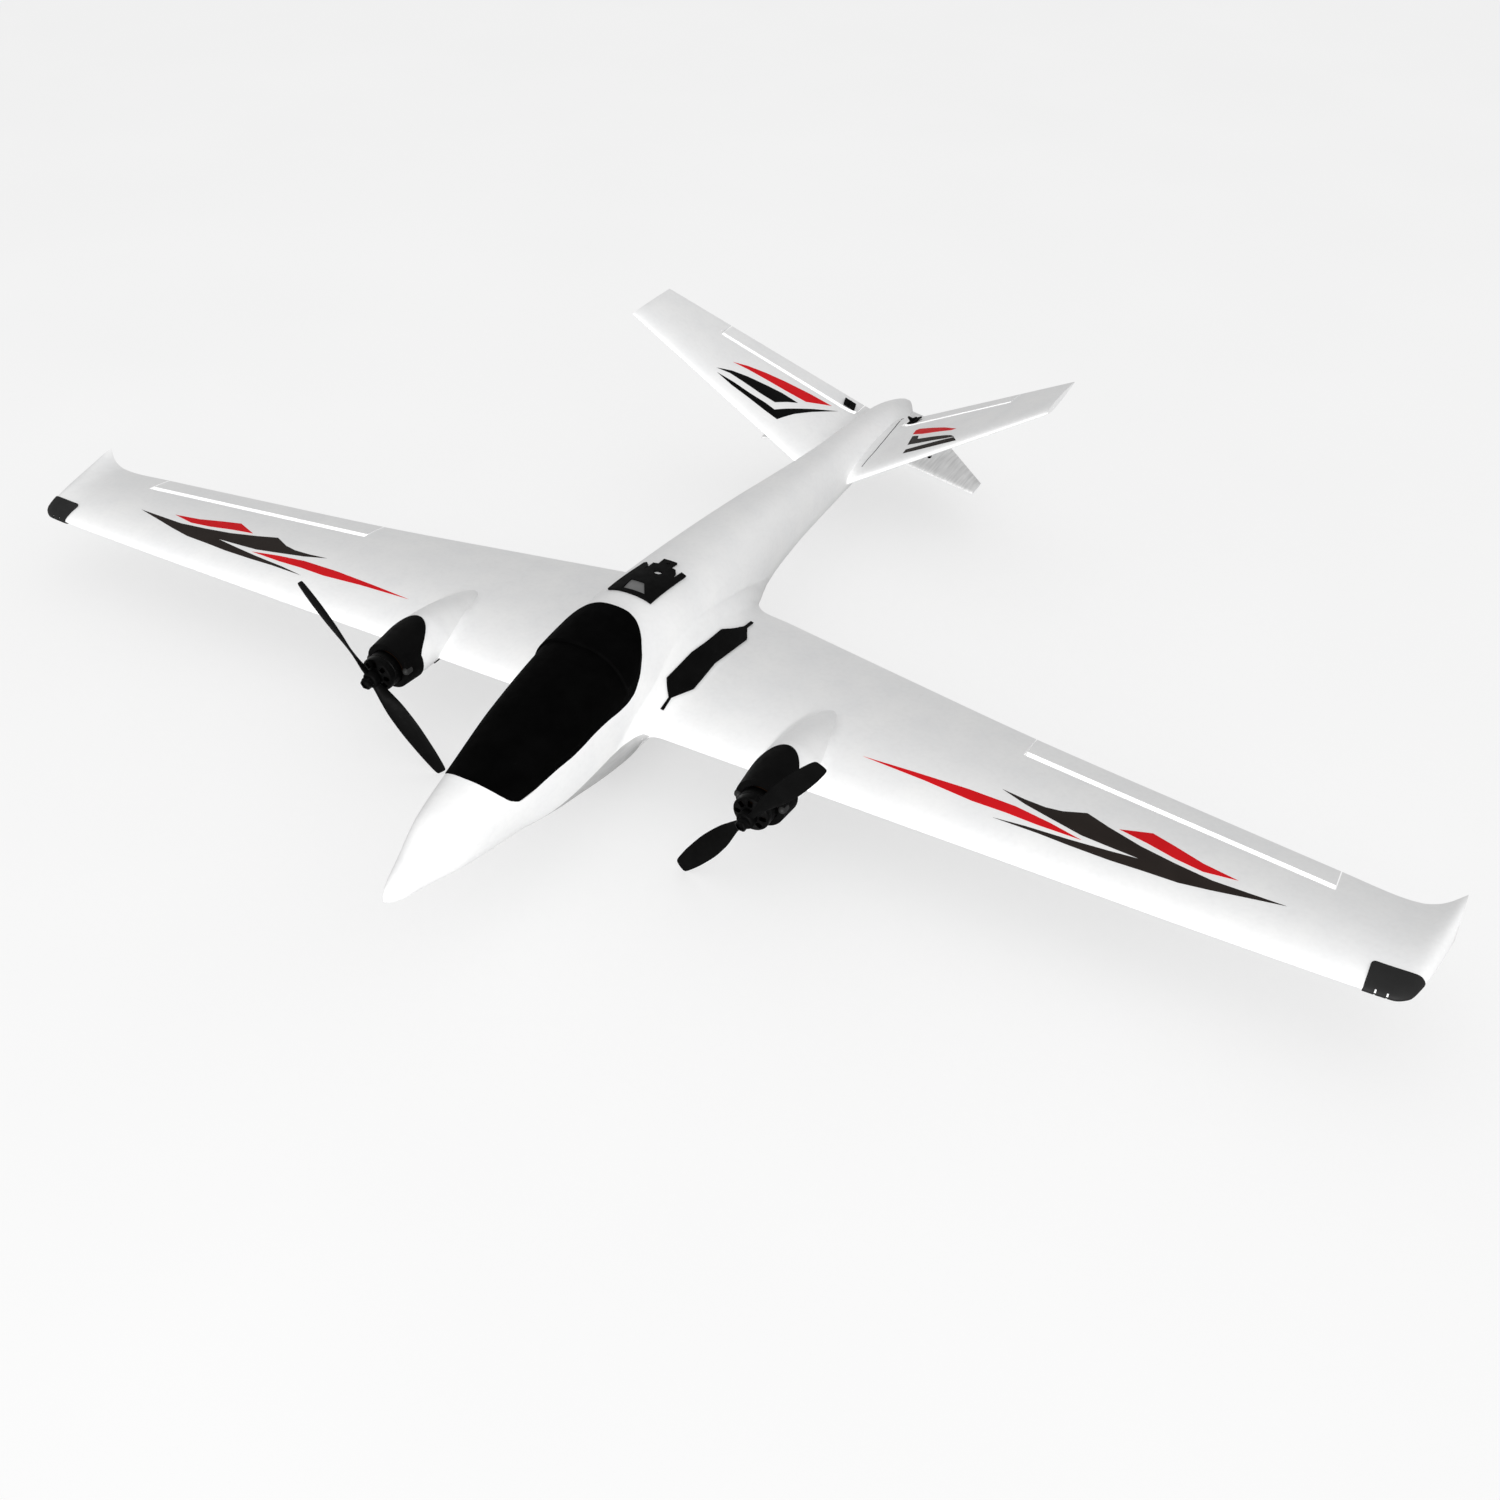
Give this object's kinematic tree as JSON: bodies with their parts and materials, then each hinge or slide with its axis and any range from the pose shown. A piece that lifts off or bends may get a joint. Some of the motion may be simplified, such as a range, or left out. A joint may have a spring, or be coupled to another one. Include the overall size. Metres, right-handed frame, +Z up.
{
  "type": "rc foam airplane",
  "caption": "Twin-motor V-tail model aeroplane in moulded foam with ailerons, ruddervators, servo linkages, lift-off canopy over an equipment bay, and free-spinning propellers.",
  "frame": {"origin": "centre of the bounding box footprint, at the lowest propeller tip", "axes": "+Z up, nose towards -Y, left wing towards +X"},
  "size_m": [1.204, 0.816, 0.1898],
  "materials": {
    "white_foam": "white moulded EPP foam, fine bead texture",
    "black_plastic": "matte black moulded plastic",
    "black_metal": "black anodised",
    "steel": "bright spring steel",
    "carbon": "pultruded carbon fibre, satin",
    "copper_winding": "enamelled copper windings on laminated iron",
    "plywood": "light plywood",
    "battery_wrap": "dark blue shrink wrap",
    "webbing": "black hook-and-loop strap",
    "circuit_board": "cased green circuit board"
  },
  "bodies": {
    "airframe": {"accessory_plate": "black_plastic", "aileron_left_servo": "black_plastic", "aileron_right_servo": "black_plastic", "battery_strap": "webbing", "belly_skid": "black_plastic", "equipment_tray": "plywood", "flight_battery": "battery_wrap", "flight_controller": "circuit_board", "fuselage_left": "white_foam", "fuselage_right": "white_foam", "hatch_keeper_bridge": "plywood", "motor_mount_left": "black_plastic", "motor_mount_right": "black_plastic", "motor_stator_left": "copper_winding", "motor_stator_right": "copper_winding", "radio_receiver": "black_plastic", "ruddervator_left_servo": "black_plastic", "ruddervator_right_servo": "black_plastic", "speed_controller_left": "black_plastic", "speed_controller_right": "black_plastic", "tail_joiner": "carbon", "tail_panel_left": "white_foam", "tail_panel_right": "white_foam", "ventral_fin_left": "white_foam", "ventral_fin_right": "white_foam", "wing_joiner": "carbon", "wing_left": "white_foam", "wing_right": "white_foam", "wing_root_cover_left": "black_plastic", "wing_root_cover_right": "black_plastic", "wing_spar": "carbon", "wingtip_guard_left": "black_plastic", "wingtip_guard_right": "black_plastic"},
    "canopy": {"canopy_hatch": "black_plastic", "hatch_magnet": "steel"},
    "aileron_left": {"aileron_left": "white_foam", "aileron_left_horn": "black_plastic"},
    "aileron_left_arm": {"aileron_left_servo_arm": "black_plastic"},
    "aileron_left_rod": {"aileron_left_pushrod": "steel"},
    "ruddervator_left": {"ruddervator_left": "white_foam", "ruddervator_left_horn": "black_plastic", "ruddervator_top_horn_left": "black_plastic"},
    "ruddervator_left_arm": {"ruddervator_left_servo_arm": "black_plastic"},
    "ruddervator_left_rod": {"ruddervator_left_pushrod": "steel"},
    "rotor_left": {"motor_bell_left": "black_metal", "propeller_left": "black_plastic", "prop_nut_left": "black_metal"},
    "aileron_right": {"aileron_right": "white_foam", "aileron_right_horn": "black_plastic"},
    "aileron_right_arm": {"aileron_right_servo_arm": "black_plastic"},
    "aileron_right_rod": {"aileron_right_pushrod": "steel"},
    "ruddervator_right": {"ruddervator_right": "white_foam", "ruddervator_right_horn": "black_plastic", "ruddervator_top_horn_right": "black_plastic"},
    "ruddervator_right_arm": {"ruddervator_right_servo_arm": "black_plastic"},
    "ruddervator_right_rod": {"ruddervator_right_pushrod": "steel"},
    "rotor_right": {"motor_bell_right": "black_metal", "propeller_right": "black_plastic", "prop_nut_right": "black_metal"}
  },
  "joints": [
    {"name": "canopy_lift", "type": "hinge", "parent": "airframe", "child": "canopy", "pos_m": [0, -0.3181, 0.1102], "axis": [1, 0, 0], "range_deg": [0, 60]},
    {"name": "aileron_left_hinge", "type": "hinge", "parent": "airframe", "child": "aileron_left", "pos_m": [0.302, -0.0693, 0.06481], "axis": [0.9917, -0.1283, 0.0003], "range_deg": [-25, 25]},
    {"name": "aileron_left_servo_shaft", "type": "hinge", "parent": "airframe", "child": "aileron_left_arm", "pos_m": [0.38708, -0.1287, 0.06644], "axis": [0.9917, -0.1283, 0.0003], "range_deg": [-25, 25]},
    {"name": "aileron_left_rod_pin", "type": "hinge", "parent": "aileron_left_arm", "child": "aileron_left_rod", "pos_m": [0.38709, -0.1287, 0.05644], "axis": [0.9917, -0.1283, 0.0003], "range_deg": [-25, 25]},
    {"name": "ruddervator_left_hinge", "type": "hinge", "parent": "airframe", "child": "ruddervator_left", "pos_m": [0.0285, 0.3265, 0.07187], "axis": [0.7902, -0.3255, 0.5193], "range_deg": [-25, 25]},
    {"name": "ruddervator_left_servo_shaft", "type": "hinge", "parent": "airframe", "child": "ruddervator_left_arm", "pos_m": [0.07987, 0.24999, 0.10752], "axis": [0.7902, -0.3255, 0.5193], "range_deg": [-25, 25]},
    {"name": "ruddervator_left_rod_pin", "type": "hinge", "parent": "ruddervator_left_arm", "child": "ruddervator_left_rod", "pos_m": [0.08536, 0.24998, 0.09916], "axis": [0.7902, -0.3255, 0.5193], "range_deg": [-25, 25]},
    {"name": "rotor_left_spin", "type": "hinge", "parent": "airframe", "child": "rotor_left", "pos_m": [0.1624, -0.202, 0.0726], "axis": [0, -1, 0], "continuous": true},
    {"name": "aileron_right_hinge", "type": "hinge", "parent": "airframe", "child": "aileron_right", "pos_m": [-0.302, -0.0693, 0.06481], "axis": [0.9917, 0.1283, -0.0003], "range_deg": [-25, 25]},
    {"name": "aileron_right_servo_shaft", "type": "hinge", "parent": "airframe", "child": "aileron_right_arm", "pos_m": [-0.38708, -0.1287, 0.06644], "axis": [0.9917, 0.1283, -0.0003], "range_deg": [-25, 25]},
    {"name": "aileron_right_rod_pin", "type": "hinge", "parent": "aileron_right_arm", "child": "aileron_right_rod", "pos_m": [-0.38709, -0.1287, 0.05644], "axis": [0.9917, 0.1283, -0.0003], "range_deg": [-25, 25]},
    {"name": "ruddervator_right_hinge", "type": "hinge", "parent": "airframe", "child": "ruddervator_right", "pos_m": [-0.0285, 0.3265, 0.07187], "axis": [0.7902, 0.3255, -0.5193], "range_deg": [-25, 25]},
    {"name": "ruddervator_right_servo_shaft", "type": "hinge", "parent": "airframe", "child": "ruddervator_right_arm", "pos_m": [-0.07987, 0.24999, 0.10752], "axis": [0.7902, 0.3255, -0.5193], "range_deg": [-25, 25]},
    {"name": "ruddervator_right_rod_pin", "type": "hinge", "parent": "ruddervator_right_arm", "child": "ruddervator_right_rod", "pos_m": [-0.08536, 0.24998, 0.09916], "axis": [0.7902, 0.3255, -0.5193], "range_deg": [-25, 25]},
    {"name": "rotor_right_spin", "type": "hinge", "parent": "airframe", "child": "rotor_right", "pos_m": [-0.1624, -0.202, 0.0726], "axis": [0, -1, 0], "continuous": true}
  ],
  "couplings": [
    {"joint": "aileron_left_servo_shaft", "follows": "aileron_left_hinge", "ratio": 1},
    {"joint": "aileron_left_rod_pin", "follows": "aileron_left_hinge", "ratio": -1},
    {"joint": "ruddervator_left_servo_shaft", "follows": "ruddervator_left_hinge", "ratio": 1},
    {"joint": "ruddervator_left_rod_pin", "follows": "ruddervator_left_hinge", "ratio": -1},
    {"joint": "aileron_right_servo_shaft", "follows": "aileron_right_hinge", "ratio": 1},
    {"joint": "aileron_right_rod_pin", "follows": "aileron_right_hinge", "ratio": -1},
    {"joint": "ruddervator_right_servo_shaft", "follows": "ruddervator_right_hinge", "ratio": 1},
    {"joint": "ruddervator_right_rod_pin", "follows": "ruddervator_right_hinge", "ratio": -1}
  ]
}
